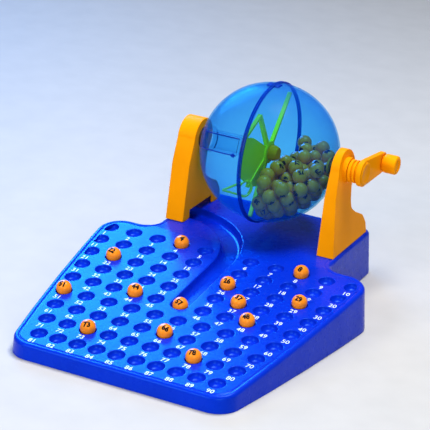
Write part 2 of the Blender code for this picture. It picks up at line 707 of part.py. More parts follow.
def heap_of_balls(count):
    """Settle balls in the bottom of the globe, right of the selector; centres in metres.

    The balls start on a loose lattice and sink a little at every step, while each pair,
    the shell, the hub, the flange, the ring and the ring's sweep push them apart.
    """
    space = BALL_R + 0.15 * MM
    reach = GLOBE_R - SHELL - 0.4 * MM - space
    left_limit = RING_SWEEP_X + GAP + space
    right_limit = FLANGE_X - GAP - space
    hub_limit = 6.5 * MM + space
    ring_limit = 9.0 * MM + space
    noise = np.random.default_rng(90)
    lattice = [(x, y, z) for z in np.arange(-40, 30, 11.6) for y in np.arange(-36, 37, 11.6)
               for x in np.arange(8, 44, 11.6)]
    spots = np.array(lattice) * MM
    spots = spots[np.linalg.norm(spots, axis=1) < reach]
    spots = spots[np.hypot(spots[:, 1], spots[:, 2]) > hub_limit][:count]
    spots += noise.uniform(-1, 1, spots.shape) * MM
    for step in range(900):
        sink = 0.25 * MM if step < 600 else 0.0
        spots[:, 0] += sink * HEAP_LEAN[0]
        spots[:, 1] += sink * HEAP_LEAN[1]
        spots[:, 2] -= sink
        for _ in range(4 if step < 600 else 1):
            gap = spots[:, None] - spots[None]
            length = np.linalg.norm(gap, axis=2) + np.eye(count)
            bite = np.clip(2 * space - length, 0, None) * (1 - np.eye(count))
            spots += (gap / length[:, :, None] * bite[:, :, None]).sum(axis=1) * 0.45
            spots[:, 0] = np.maximum(spots[:, 0], left_limit)
            from_axis = np.hypot(spots[:, 1], spots[:, 2])
            beside_hub = spots[:, 0] < HUB_CAP_X + space
            push = np.where(beside_hub, np.maximum(hub_limit / from_axis, 1.0), 1.0)
            spots[:, 1:] *= push[:, None]
            from_ring = spots - np.array(RING_AT)
            length = np.linalg.norm(from_ring, axis=1)
            spots += from_ring * (np.maximum(ring_limit / length, 1.0) - 1.0)[:, None]
            by_flange = from_axis < FLANGE_R + space
            spots[by_flange, 0] = np.minimum(spots[by_flange, 0], right_limit)
            length = np.linalg.norm(spots, axis=1)
            spots *= np.minimum(reach / length, 1.0)[:, None]
    return spots + np.array((0.0, AXLE_Y, AXLE_Z))


def build_balls():
    for number in CALLED:
        across, along = pocket_spot(number)
        height = BALL_R - POCKET_DEPTH + GAP
        build_ball(f"called_ball_{number:02d}", on_board(across, along, height))
    floor = channel_floor_z(CHANNEL_END_Y)
    lift = (BALL_R + GAP) / math.cos(TILT)
    build_ball("drawn_ball", Vector((0.0, CHANNEL_END_Y, floor + lift)))
    heap = heap_of_balls(CAGE_BALLS)
    order = np.argsort(heap[:, 1] - heap[:, 2] * 1.5 - heap[:, 0] * 0.3)
    for rank, index in enumerate(order[:CAGE_BALL_NODES], start=1):
        build_ball(f"cage_ball_{rank:02d}", Vector(heap[index]))


def hang_on_axles(tip_y, tip_z):
    """Give each turning piece an empty on its own axis as its parent."""
    axle = bpy.data.objects.new("cage_axis", None)
    axle.location = (0.0, AXLE_Y, AXLE_Z)
    pin = bpy.data.objects.new("knob_axis", None)
    pin.location = (KNOB_START_X, tip_y, tip_z)
    hinge = bpy.data.objects.new("door_axis", None)
    hinge.location = door_hinge()
    groups = {hinge: ("cage_door",), axle: ("cage_left_half", "cage_right_half", "exit_tube", "drive_shaft",
                     "selector_hub", "selector", "crank_arm", "knob_pin"),
              pin: ("crank_knob",)}
    for empty, names in groups.items():
        bpy.context.scene.collection.objects.link(empty)
        for name in names:
            child = bpy.data.objects[name]
            child.parent = empty
            child.matrix_parent_inverse = Matrix.Translation(-empty.location)


def main():
    clear_scene()
    build_tray()
    build_left_support()
    build_left_cover()
    build_right_support()
    build_globe()
    build_exit_tube()
    build_drive_shaft()
    build_selector_hub()
    build_selector()
    tip_y, tip_z = build_crank_arm()
    build_knob(tip_y, tip_z)
    build_balls()
    hang_on_axles(tip_y, tip_z)


main()
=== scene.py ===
"""Looks of the bingo cage: glossy blue tray, clear blue globe, yellow supports, orange balls."""
import math

import bmesh
import bpy
import numpy as np
from mathutils import Matrix, Vector
from mathutils.geometry import delaunay_2d_cdt


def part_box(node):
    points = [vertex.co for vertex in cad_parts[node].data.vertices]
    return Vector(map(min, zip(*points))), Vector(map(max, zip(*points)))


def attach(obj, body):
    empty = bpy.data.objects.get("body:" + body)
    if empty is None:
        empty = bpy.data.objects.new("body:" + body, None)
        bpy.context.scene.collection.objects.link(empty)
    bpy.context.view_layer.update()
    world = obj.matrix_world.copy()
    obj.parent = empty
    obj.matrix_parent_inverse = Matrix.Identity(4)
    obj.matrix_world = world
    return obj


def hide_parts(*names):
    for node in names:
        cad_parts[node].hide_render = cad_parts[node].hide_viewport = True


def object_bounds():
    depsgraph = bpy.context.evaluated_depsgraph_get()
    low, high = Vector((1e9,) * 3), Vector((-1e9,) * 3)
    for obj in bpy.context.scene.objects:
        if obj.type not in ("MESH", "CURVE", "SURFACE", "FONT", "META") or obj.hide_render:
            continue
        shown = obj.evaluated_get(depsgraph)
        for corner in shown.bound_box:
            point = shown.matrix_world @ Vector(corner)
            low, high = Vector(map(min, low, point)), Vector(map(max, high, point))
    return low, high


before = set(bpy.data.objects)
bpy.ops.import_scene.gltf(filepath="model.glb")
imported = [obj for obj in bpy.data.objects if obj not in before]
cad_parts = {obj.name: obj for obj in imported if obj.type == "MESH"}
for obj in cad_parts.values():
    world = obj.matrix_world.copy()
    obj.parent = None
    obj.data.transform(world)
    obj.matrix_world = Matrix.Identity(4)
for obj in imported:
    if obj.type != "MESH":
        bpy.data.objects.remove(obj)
cad_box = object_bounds()

MM = 0.001

# Places read from the frame
LEFT_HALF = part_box("cage_left_half")
AXLE_Y = (LEFT_HALF[0][1] + LEFT_HALF[1][1]) / 2
AXLE_Z = (LEFT_HALF[0][2] + LEFT_HALF[1][2]) / 2
AXLE = Vector((0.0, AXLE_Y, AXLE_Z))
TRAY_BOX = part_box("base_tray")
PLATFORM_Z = TRAY_BOX[1][2]
DRAWN_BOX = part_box("drawn_ball")
BALL_R = (DRAWN_BOX[1][2] - DRAWN_BOX[0][2]) / 2

# Board, as in the CAD model
TILT = math.radians(7.0)
FRONT_ROW_Y = AXLE_Y - 202.65 * MM
FRONT_ROW_Z = 12.8 * MM
CREASE_Y = AXLE_Y - 44.2 * MM
CREASE_ALONG = (CREASE_Y - FRONT_ROW_Y) / math.cos(TILT)
ROWS = 9
COLUMNS = 10
SPLIT_ROWS = 5
ROW_PITCH = 18.1 * MM
FRONT_ROW_HALF = 65.0 * MM
BACK_ROW_HALF = 93.9 * MM
ROW_BULGE = 3.1 * MM
GAP_HALF = 17.7 * MM
POCKET_DEPTH = 3.9 * MM
CALLED = (4, 8, 22, 26, 29, 37, 44, 48, 51, 66, 73, 78)
BALL_COUNT = 90
DRAWN = 57
CAGE_BALLS = BALL_COUNT - len(CALLED) - 1

# Tray's outline
BOARD_FRONT_Y = FRONT_ROW_Y - 16.25 * MM
PLATFORM_BACK_Y = AXLE_Y + 40.5 * MM
BOARD_FRONT_HALF = 79.0 * MM
BOARD_BACK_HALF = 104.6 * MM
PLATFORM_HALF = 67.6 * MM
BOARD_BULGE = 2.2 * MM
DRAFT = 0.075              # the walls widen by this share of their height
WALL = 1.8 * MM
FOOT_ROUND = 0.35 * MM

# Channel
CHANNEL_HALF = 6.4 * MM
CHANNEL_MOUTH_HALF = 10.2 * MM
CHANNEL_DEPTH = 6.2 * MM
CHANNEL_END_Y = AXLE_Y - 129.7 * MM
CHANNEL_BEND = Vector((-65.3 * MM, AXLE_Y - 69.5 * MM))
CHANNEL_FALL = 0.02

# Globe and what is on its axle
GLOBE_R = 50.0 * MM
SHELL = 1.2 * MM
GAP = 0.3 * MM             # between neighbouring pieces
SEAM_R = 51.2 * MM
SEAM_HALF = 1.4 * MM
TUBE_R = 7.5 * MM
TUBE_BORE_R = 6.0 * MM
TUBE_X = (-57.0 * MM, -16.0 * MM)
COLLAR = 2 * MM            # how far the tube's collar stands out
SHAFT_R = 3.0 * MM
FLANGE_R = 6.0 * MM
FLANGE_X = 45.9 * MM
DOOR_ANGLE = math.radians(20.0)
DOOR_HALF = 6.6 * MM
DOOR_X = (-38.0 * MM, -4.0 * MM)

# Supports
SUPPORT_INNER_X = 52.9 * MM
LEFT_THICK = 14.0 * MM
RIGHT_THICK = 12.6 * MM
RIGHT_LEAN = 0.10          # the outer face leans in by this share of the height
HEAD_R = 14.4 * MM
FOOT_Z = PLATFORM_Z + GAP
TAB_YS = (AXLE_Y - 21.4 * MM, AXLE_Y + 26.1 * MM)
TAB_X = SUPPORT_INNER_X + 1.1 * MM
TAB_HALF = (0.8 * MM, 4 * MM)
SLOT_HALF = (1.1 * MM, 4.3 * MM)
SUPPORT_WALL = 1.7 * MM
LEFT_FACE = 1.4 * MM       # thickness of the left support's inner face
RIGHT_FACE = 1.6 * MM      # thickness of the right support's two faces
COVER = 1.1 * MM
BOSS_R = 9 * MM
BOSS_END_X = 62.4 * MM

# Selector; places on it are (back, up) or (right, back, up) from the axle
SELECTOR_X = (-3.0 * MM, 0.0)
HUB_CAP_X = 6.7 * MM
RING_AT = (-1.6 * MM, -35.4 * MM, -16.5 * MM)
RING_OUTER = 6.3 * MM
RING_INNER = 5.0 * MM
RING_TURN = math.radians(28.0)
RING_SWEEP_X = 2.6 * MM    # the turned ring's right edge, as the cage spins
LOOP_TIP = (-17.5 * MM, -37.5 * MM, -20.5 * MM)
HUB_R = 8.0 * MM
CAP_R = 5.6 * MM

# Settling of the heap of balls
HEAP_PITCH = 11.6          # of the lattice the balls start on, in mm
HEAP_STEPS = 900
HEAP_SINKING = 600         # steps in which the balls still sink
HEAP_SINK = 0.25 * MM
HEAP_LEAN = (0.10, 0.14)   # drift to the right and back for each step down
HEAP_SEED = 90

# Crank
HUB_START_X = 62.8 * MM
HUB_END_X = 74.2 * MM
CRANK_LENGTH = 33.6 * MM
CRANK_DROP = math.radians(4.0)
KNOB_AT = (AXLE_Y + CRANK_LENGTH * math.cos(CRANK_DROP),
           AXLE_Z - CRANK_LENGTH * math.sin(CRANK_DROP))
KNOB_R = 6.8 * MM
KNOB_START_X = 74.0 * MM
KNOB_END_X = 84.6 * MM
RIB_R = 8.2 * MM
GROOVE_R = 7.0 * MM
ARM_X = (69.6 * MM, 73.4 * MM)
PIN_R = 1.85 * MM
ARM_BORE_R = 2.15 * MM
KNOB_BORE_R = 2.3 * MM


# ---------------- materials

def new_material(name):
    material = bpy.data.materials.new(name)
    material.use_nodes = True
    nodes = material.node_tree.nodes
    return material, nodes, material.node_tree.links, nodes["Principled BSDF"]


def set_sockets(node, values):
    for name, value in values.items():
        node.inputs[name].default_value = value


def add_noise(nodes, links, scale, detail=3.0):
    place = nodes.new("ShaderNodeTexCoord")
    noise = nodes.new("ShaderNodeTexNoise")
    set_sockets(noise, {"Scale": scale, "Detail": detail})
    links.new(place.outputs["Object"], noise.inputs["Vector"])
    return noise


def add_ramp(nodes, links, source, low, high):
    ramp = nodes.new("ShaderNodeValToRGB")
    for stop, position, colour in zip(ramp.color_ramp.elements, (0.3, 0.7), (low, high)):
        stop.position = position
        stop.color = colour
    links.new(source, ramp.inputs["Fac"])
    return ramp


PLASTIC_IOR = 1.49
FLOW_SCALE = 22.0
WEAR_SCALE = 160.0
PEEL_SCALE = 420.0
PEEL_DEPTH = 0.012 * MM
PEEL_STRENGTH = 0.05


def moulded_plastic(name, colour, roughness, scatter=0.0, shine=(1.0, 1.0, 1.0, 1.0),
                    specular=0.5):
    """Glossy injection-moulded plastic: faint colour flow, uneven gloss, fine orange peel."""
    material, nodes, links, shader = new_material(name)
    flow = add_noise(nodes, links, FLOW_SCALE)
    darker = tuple(channel * 0.90 for channel in colour) + (1.0,)
    lighter = tuple(min(channel * 1.07, 1.0) for channel in colour) + (1.0,)
    tint = add_ramp(nodes, links, flow.outputs["Fac"], darker, lighter)
    links.new(tint.outputs["Color"], shader.inputs["Base Color"])
    wear = add_noise(nodes, links, WEAR_SCALE, detail=5.0)
    spread = nodes.new("ShaderNodeMapRange")
    set_sockets(spread, {"To Min": roughness - 0.05, "To Max": roughness + 0.07})
    links.new(wear.outputs["Fac"], spread.inputs["Value"])
    links.new(spread.outputs["Result"], shader.inputs["Roughness"])
    peel = add_noise(nodes, links, PEEL_SCALE, detail=2.0)
    bump = nodes.new("ShaderNodeBump")
    set_sockets(bump, {"Strength": PEEL_STRENGTH, "Distance": PEEL_DEPTH})
    links.new(peel.outputs["Fac"], bump.inputs["Height"])
    links.new(bump.outputs["Normal"], shader.inputs["Normal"])
    set_sockets(shader, {"Specular Tint": shine, "Specular IOR Level": specular,
                         "IOR": PLASTIC_IOR})
    if scatter:
        set_sockets(shader, {"Subsurface Weight": scatter, "Subsurface Scale": 3 * MM,
                             "Subsurface Radius": (1.0, 0.6, 0.3)})
    return material


CLEAR_SPECULAR = 0.22
EDGE_BLEND = 0.09


def clear_plastic(name, tint, body, share, edge_share, roughness):
    """Tinted see-through plastic: clear face on, more solid where it is seen edge on.

    The share is how solid it is face on, and the edge share how solid it is edge on.
    """
    material, nodes, links, shader = new_material(name)
    set_sockets(shader, {"Roughness": roughness, "IOR": PLASTIC_IOR,
                         "Specular IOR Level": CLEAR_SPECULAR})
    flow = add_noise(nodes, links, 14.0)
    darker = tuple(channel * 0.92 for channel in body[:3]) + (1.0,)
    colour = add_ramp(nodes, links, flow.outputs["Fac"], darker, body)
    links.new(colour.outputs["Color"], shader.inputs["Base Color"])
    clear = nodes.new("ShaderNodeBsdfTransparent")
    set_sockets(clear, {"Color": tint})
    facing = nodes.new("ShaderNodeLayerWeight")
    set_sockets(facing, {"Blend": EDGE_BLEND})
    solid = nodes.new("ShaderNodeMapRange")
    set_sockets(solid, {"To Min": share, "To Max": edge_share})
    links.new(facing.outputs["Facing"], solid.inputs["Value"])
    mix = nodes.new("ShaderNodeMixShader")
    links.new(solid.outputs["Result"], mix.inputs["Fac"])
    links.new(clear.outputs["BSDF"], mix.inputs[1])
    links.new(shader.outputs["BSDF"], mix.inputs[2])
    links.new(mix.outputs["Shader"], nodes["Material Output"].inputs["Surface"])
    return material


TRAY_BLUE = moulded_plastic("tray_blue_plastic", (0.001, 0.024, 0.56), roughness=0.27,
                            shine=(0.10, 0.55, 1.0, 1.0), specular=0.20)
YELLOW = moulded_plastic("yellow_plastic", (0.93, 0.33, 0.002), roughness=0.34, scatter=0.05,
                         shine=(1.0, 0.75, 0.35, 1.0), specular=0.02)
LIME = moulded_plastic("lime_plastic", (0.86, 0.95, 0.012), roughness=0.32, scatter=0.05,
                       specular=0.18)
ORANGE = moulded_plastic("ball_orange_plastic", (0.90, 0.27, 0.014), roughness=0.30,
                         scatter=0.05, shine=(1.0, 0.85, 0.6, 1.0), specular=0.28)
PRINT_WHITE = moulded_plastic("number_print_white", (0.72, 0.86, 0.95), roughness=0.45)
PRINT_BLACK = moulded_plastic("number_print_black", (0.004, 0.003, 0.003), roughness=0.6,
                              specular=0.1)
CLEAR_BLUE = clear_plastic("clear_blue_plastic", (0.53, 0.855, 0.995, 1.0),
                           (0.002, 0.13, 0.80, 1.0), share=0.008, edge_share=1.0,
                           roughness=0.25)
TUBE_BLUE = clear_plastic("tube_blue_plastic", (0.88, 0.96, 0.99, 1.0),
                          (0.01, 0.20, 0.80, 1.0), share=0.02, edge_share=0.5,
                          roughness=0.25)
SEAM_BLUE = clear_plastic("seam_blue_plastic", (0.16, 0.44, 0.88, 1.0),
                          (0.001, 0.05, 0.52, 1.0), share=0.40, edge_share=0.90,
                          roughness=0.3)


# ---------------- mesh helpers

def add_object(name, data):
    item = bpy.data.objects.new(name, data)
    bpy.context.scene.collection.objects.link(item)
    return item


def finish_mesh(name, bm, material, sharp=35.0, merge=1e-6):
    bmesh.ops.remove_doubles(bm, verts=bm.verts, dist=merge)
    bmesh.ops.recalc_face_normals(bm, faces=bm.faces)
    mesh = bpy.data.meshes.new(name)
    bm.to_mesh(mesh)
    bm.free()
    mesh.shade_smooth()
    mesh.set_sharp_from_angle(angle=math.radians(sharp))
    item = add_object(name, mesh)
    mesh.materials.append(material)
    return item


def apply_modifiers(item, sharp=35.0):
    graph = bpy.context.evaluated_depsgraph_get()
    mesh = bpy.data.meshes.new_from_object(item.evaluated_get(graph))
    item.modifiers.clear()
    item.data = mesh
    mesh.shade_smooth()
    mesh.set_sharp_from_angle(angle=math.radians(sharp))


def combine(item, other, operation="DIFFERENCE"):
    modifier = item.modifiers.new("join", "BOOLEAN")
    modifier.object = other
    modifier.operation = operation
    modifier.solver = "EXACT"
    apply_modifiers(item)
    bpy.data.objects.remove(other, do_unlink=True)


def weight_normals(item):
    """Let the large faces set the shading beside them."""
    weighted = item.modifiers.new("normals", "WEIGHTED_NORMAL")
    weighted.keep_sharp = True


def round_edges(item, width):
    bevel = item.modifiers.new("round", "BEVEL")
    bevel.width = width
    bevel.segments = 3
    bevel.limit_method = "ANGLE"
    bevel.angle_limit = math.radians(32.0)
    apply_modifiers(item, 50.0)
    weight_normals(item)


def lathe(name, profile, material, steps, centre=AXLE):
    """Turn a closed profile of (x, radius) points about an axis along X."""
    bm = bmesh.new()
    rings = []
    for x, radius in profile:
        turns = steps if radius > 0 else 1
        rings.append([bm.verts.new((centre[0] + x,
                                    centre[1] + radius * math.cos(2 * math.pi * step / steps),
                                    centre[2] + radius * math.sin(2 * math.pi * step / steps)))
                      for step in range(turns)])
    for ring, after in zip(rings, rings[1:] + rings[:1]):
        if len(ring) == 1 and len(after) == 1:
            continue
        for step in range(steps):
            corners = [ring[step % len(ring)], ring[(step + 1) % len(ring)],
                       after[(step + 1) % len(after)], after[step % len(after)]]
            bm.faces.new(list(dict.fromkeys(corners)))
    return finish_mesh(name, bm, material)


def bridge(bm, rings):
    """Quads between rings of points that have equal counts."""
    levels = [[bm.verts.new(point) for point in ring] for ring in rings]
    count = len(rings[0])
    for low, high in zip(levels, levels[1:]):
        for index in range(count):
            after = (index + 1) % count
            bm.faces.new((low[index], low[after], high[after], high[index]))
    return levels


def loft(name, rings, material):
    """Solid through rings of points, closed at both ends."""
    bm = bmesh.new()
    levels = bridge(bm, rings)
    bm.faces.new(levels[0])
    bm.faces.new(levels[-1])
    return finish_mesh(name, bm, material)


def prism(name, outline, low, high, material):
    """Closed (y, z) outline along X between two bounds, each a number or a function."""
    rings = [[(bound(y, z) if callable(bound) else bound, y, z) for y, z in outline]
             for bound in (low, high)]
    return loft(name, rings, material)


def arc(centre, radius, start, end, steps):
    """Points on a circle from one angle to another, in degrees."""
    points = []
    for step in range(steps + 1):
        angle = math.radians(start + (end - start) * step / steps)
        points.append((centre[0] + radius * math.cos(angle),
                       centre[1] + radius * math.sin(angle)))
    return points


def round_corners(corners, steps):
    """Turn (x, y, radius) corners into an outline whose corners are arcs."""
    outline = []
    for index, (x, y, radius) in enumerate(corners):
        here = Vector((x, y))
        if radius <= 0:
            outline.append(here)
            continue
        before = (Vector(corners[index - 1][:2]) - here).normalized()
        after = (Vector(corners[(index + 1) % len(corners)][:2]) - here).normalized()
        half = before.angle(after) / 2
        centre = here + (before + after).normalized() * radius / math.sin(half)
        first = here + before * radius / math.tan(half) - centre
        last = here + after * radius / math.tan(half) - centre
        sweep = first.angle_signed(last)
        for step in range(steps + 1):
            spot = first.copy()
            spot.rotate(Matrix.Rotation(-sweep * step / steps, 2))
            outline.append(centre + spot)
    return outline


def outward_normals(outline):
    """Unit normals of an anticlockwise outline, scaled so that offsets keep their width."""
    normals = []
    for index, here in enumerate(outline):
        before = (here - outline[index - 1]).normalized()
        after = (outline[(index + 1) % len(outline)] - here).normalized()
        normal = Vector((before.y + after.y, -before.x - after.x)).normalized()
        normals.append(normal / max(normal.dot(Vector((before.y, -before.x))), 0.5))
    return normals


def resample(outline, step):
    """Add points on the long sides of a closed outline."""
    result = []
    for index, here in enumerate(outline):
        after = outline[(index + 1) % len(outline)]
        parts = max(1, math.ceil((after - here).length / step))
        result += [here.lerp(after, part / parts) for part in range(parts)]
    return result


def inside(points, outline):
    """True for each of the (n, 2) points that lies inside a closed outline."""
    result = np.zeros(len(points), bool)
    for index, here in enumerate(outline):
        after = outline[(index + 1) % len(outline)]
        crosses = (points[:, 1] > here[1]) != (points[:, 1] > after[1])
        if not crosses.any():
            continue
        at = here[0] + (points[:, 1] - here[1]) * (after[0] - here[0]) / (after[1] - here[1])
        result ^= crosses & (points[:, 0] < at)
    return result


# ---------------- tray

def along_of(y):
    """Distance along the tray's top, from the front row, of a place on the ground."""
    if y < CREASE_Y:
        return (y - FRONT_ROW_Y) / math.cos(TILT)
    return CREASE_ALONG + y - CREASE_Y


def on_tray(x, along, above):
    """World point from the place along the tray's top and the height square to it."""
    crease_width = 1.6 * MM
    share = min(max((along - CREASE_ALONG) / crease_width + 0.5, 0.0), 1.0)
    tilt = TILT * (1 - share * share * (3 - 2 * share))
    if along < CREASE_ALONG:
        y = FRONT_ROW_Y + along * math.cos(TILT)
        z = FRONT_ROW_Z + along * math.sin(TILT)
    else:
        y = CREASE_Y + along - CREASE_ALONG
        z = PLATFORM_Z
    return Vector((x, y - above * math.sin(tilt), z + above * math.cos(tilt)))


def tray_outline():
    """The tray's edge as (x, along) points, anticlockwise."""
    edge_spacing = 3.2 * MM
    right = [(BOARD_FRONT_HALF, BOARD_FRONT_Y, 16 * MM)]
    for share in (0.25, 0.5, 0.75):
        width = BOARD_FRONT_HALF + (BOARD_BACK_HALF - BOARD_FRONT_HALF) * share
        width += BOARD_BULGE * 4 * share * (1 - share)
        right.append((width, BOARD_FRONT_Y + (CREASE_Y - BOARD_FRONT_Y) * share, 150 * MM))
    right.append((BOARD_BACK_HALF, CREASE_Y, 17 * MM))
    right.append((PLATFORM_HALF, CREASE_Y, 11 * MM))
    right.append((PLATFORM_HALF, PLATFORM_BACK_Y, 8 * MM))
    left = [(-x, y, radius) for x, y, radius in reversed(right)]
    outline = resample(round_corners(right + left, 14), edge_spacing)
    return [Vector((point.x, along_of(point.y))) for point in outline]


def pocket_spot(number):
    """Place of a numbered pocket on the board: across, and along from the front row."""
    row, column = divmod(number - 1, COLUMNS)
    share = 1 - row / (ROWS - 1)
    half = FRONT_ROW_HALF + (BACK_ROW_HALF - FRONT_ROW_HALF) * share
    half += ROW_BULGE * 4 * share * (1 - share)
    if row < SPLIT_ROWS:
        on_right = column >= COLUMNS // 2
        rank = column - 5 if on_right else 4 - column
        across = GAP_HALF + (half - GAP_HALF) * rank / 4
        across = across if on_right else -across
    else:
        across = half * (2 * column / (COLUMNS - 1) - 1)
    return across, (ROWS - 1 - row) * ROW_PITCH


def channel_path():
    """Middle, sideways direction and half width along the channel, up from its closed end."""
    stations = []
    straight_steps = 16
    for step in range(straight_steps):
        y = CHANNEL_END_Y + (CHANNEL_BEND.y - CHANNEL_END_Y) * step / straight_steps
        stations.append((Vector((0.0, y)), Vector((1, 0)), CHANNEL_HALF))
    bend_steps = 44
    for step in range(bend_steps + 1):
        share = step / bend_steps
        angle = math.radians(89.6 * share)
        outward = Vector((math.cos(angle), math.sin(angle)))
        half = CHANNEL_HALF + (CHANNEL_MOUTH_HALF - CHANNEL_HALF) * share
        stations.append((CHANNEL_BEND - outward * CHANNEL_BEND.x, outward, half))
    return stations


def channel_ring(inset):
    """Closed ring round the channel at a distance inside its edge, as (x, along) points."""
    path = channel_path()
    right = [middle + outward * (half - inset) for middle, outward, half in path]
    left = [middle - outward * (half - inset) for middle, outward, half in path]
    radius = CHANNEL_HALF - inset
    end = [Vector(point) for point in arc((0.0, CHANNEL_END_Y), radius, 180, 360, 20)][1:-1]
    mouth_shift = Vector((max(inset, 0.0), 0.0))
    right[-1] = right[-1] + mouth_shift
    left[-1] = left[-1] + mouth_shift
    ring = right + left[::-1] + end
    return [Vector((point.x, along_of(point.y))) for point in ring]


# Sections in mm: a pocket as (radius, depth); the board's edge and the channel as
# (distance inside the edge, depth)
POCKET_PROFILE = ((6.25, 0.0), (6.0, 0.03), (5.78, 0.16), (5.62, 0.42), (5.5, 0.85), (5.28, 1.5),
                  (4.95, 2.15), (4.45, 2.8), (3.75, 3.35), (2.7, 3.72), (1.4, 3.88))
EDGE_PROFILE = ((5.6, 0.0), (5.0, 0.0), (4.6, 0.10), (4.25, 0.32), (3.95, 0.36), (3.6, 0.22),
                (3.1, 0.02), (2.5, -0.12), (1.85, 0.03), (1.2, 0.32), (0.62, 0.85), (0.22, 1.6),
                (0.03, 2.4), (0.0, 3.0))
CHANNEL_PROFILE = ((-0.95, 0.0), (-0.6, 0.04), (-0.3, 0.2), (-0.08, 0.55), (0.03, 1.1),
                   (0.16, 2.4), (0.35, 3.8), (0.75, 4.9), (1.4, 5.65), (2.3, 6.08), (3.4, 6.2))
POCKET_STEPS = 28


def slot_outline(side, y):
    """Slot in the platform for a tab of a support."""
    middle = side * TAB_X
    return [Vector((middle + dx * SLOT_HALF[0], along_of(y + dy * SLOT_HALF[1])))
            for dx, dy in ((-1, -1), (1, -1), (1, 1), (-1, 1))]


def flat_region(bm, border, holes):
    """Triangles between the rim and the holes, with filler points in between."""
    loops = [border] + holes
    points = [point for loop in loops for point in loop]
    edges = []
    first = 0
    for loop in loops:
        edges += [(first + index, first + (index + 1) % len(loop)) for index in range(len(loop))]
        first += len(loop)
    fixed = np.array([tuple(point) for point in points])
    spacing = 4.0 * MM
    clearance = 0.9 * MM
    low, high = fixed.min(axis=0), fixed.max(axis=0)
    grid = np.array([(x, y) for y in np.arange(low[1], high[1], spacing)
                     for x in np.arange(low[0] + spacing / 2, high[0], spacing)])
    crease = np.array([(x, CREASE_ALONG + shift) for x in np.arange(low[0], high[0], 3 * MM)
                       for shift in (-0.8 * MM, 0.8 * MM)])
    filler = np.concatenate([crease, grid[np.abs(grid[:, 1] - CREASE_ALONG) > 2 * MM]])
    keep = inside(filler, border)
    for hole in holes:
        keep &= ~inside(filler, hole)
    filler = filler[keep]
    nearest = np.array([np.min(np.hypot(*(fixed - spot).T)) for spot in filler])
    filler = filler[nearest > clearance]
    points += [Vector(spot) for spot in filler]
    scaled = [point * 1000 for point in points]
    verts, _, faces, *_ = delaunay_2d_cdt(scaled, edges, [], 0, 1e-5)
    flat = np.array([tuple(vert) for vert in verts]) / 1000
    middles = np.array([flat[list(face)].mean(axis=0) for face in faces])
    keep = inside(middles, border)
    for hole in holes:
        keep &= ~inside(middles, hole)
    made = [bm.verts.new((x, y, 0.0)) for x, y in flat]
    for face, wanted in zip(faces, keep):
        if wanted:
            bm.faces.new([made[index] for index in face])
    for vert in [vert for vert in made if not vert.link_faces]:
        bm.verts.remove(vert)


def build_tray():
    bm = bmesh.new()
    outline = tray_outline()
    normals = outward_normals(outline)

    def edge_ring(inset, drop):
        return [(point.x - normal.x * inset * MM, point.y - normal.y * inset * MM, -drop * MM)
                for point, normal in zip(outline, normals)]
    rim = [edge_ring(inset, drop) for inset, drop in EDGE_PROFILE]
    rim_levels = bridge(bm, rim)
    holes = []
    for number in range(1, BALL_COUNT + 1):
        across, along = pocket_spot(number)
        rings = [[(x, y, -depth * MM) for x, y in
                  arc((across, along), radius * MM, 0, 360, POCKET_STEPS)[:-1]]
                 for radius, depth in POCKET_PROFILE]
        levels = bridge(bm, rings)
        bottom = bm.verts.new((across, along, -POCKET_DEPTH))
        for index in range(POCKET_STEPS):
            bm.faces.new((levels[-1][index], levels[-1][(index + 1) % POCKET_STEPS], bottom))
        holes.append([Vector(point[:2]) for point in rings[0]])

    def channel_level(inset, depth):
        ring = channel_ring(inset * MM)
        share = depth * MM / CHANNEL_DEPTH
        falls = [max(point.y - CREASE_ALONG, 0.0) * CHANNEL_FALL for point in ring]
        return [(point.x, point.y, -depth * MM + fall * share)
                for point, fall in zip(ring, falls)]
    rings = [channel_level(inset, depth) for inset, depth in CHANNEL_PROFILE]
    levels = bridge(bm, rings)
    stations = len(channel_path())
    for index in range(stations - 1):
        right, left = index, 2 * stations - 1 - index
        bm.faces.new((levels[-1][right], levels[-1][right + 1], levels[-1][left - 1],
                      levels[-1][left]))
    bm.faces.new([levels[-1][0], levels[-1][2 * stations - 1]] + levels[-1][2 * stations:])
    holes.append([Vector(point[:2]) for point in rings[0]])
    holes += [slot_outline(side, y) for side in (-1, 1) for y in TAB_YS]
    flat_region(bm, [Vector(point[:2]) for point in rim[0]], holes)
    for vert in bm.verts:
        vert.co = on_tray(*vert.co)
    top = [vert.co.copy() for vert in rim_levels[-1]]
    walls = []
    for share in (0.0, 0.12, 0.35, 0.65, 0.93, 0.985, 1.0):
        ring = []
        for spot, normal in zip(top, normals):
            run = spot.z * share * DRAFT - (FOOT_ROUND if share == 1.0 else 0.0)
            ring.append((spot.x + normal.x * run, spot.y + normal.y * run, spot.z * (1 - share)))
        walls.append(ring)
    bridge(bm, walls)
    tray = finish_mesh("tray", bm, TRAY_BLUE, sharp=60.0, merge=3e-5)
    thick = tray.modifiers.new("wall", "SOLIDIFY")
    thick.thickness = WALL
    thick.offset = -1
    apply_modifiers(tray, 60.0)
    weight_normals(tray)
    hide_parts("base_tray")
    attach(tray, "stand")


# ---------------- numbers

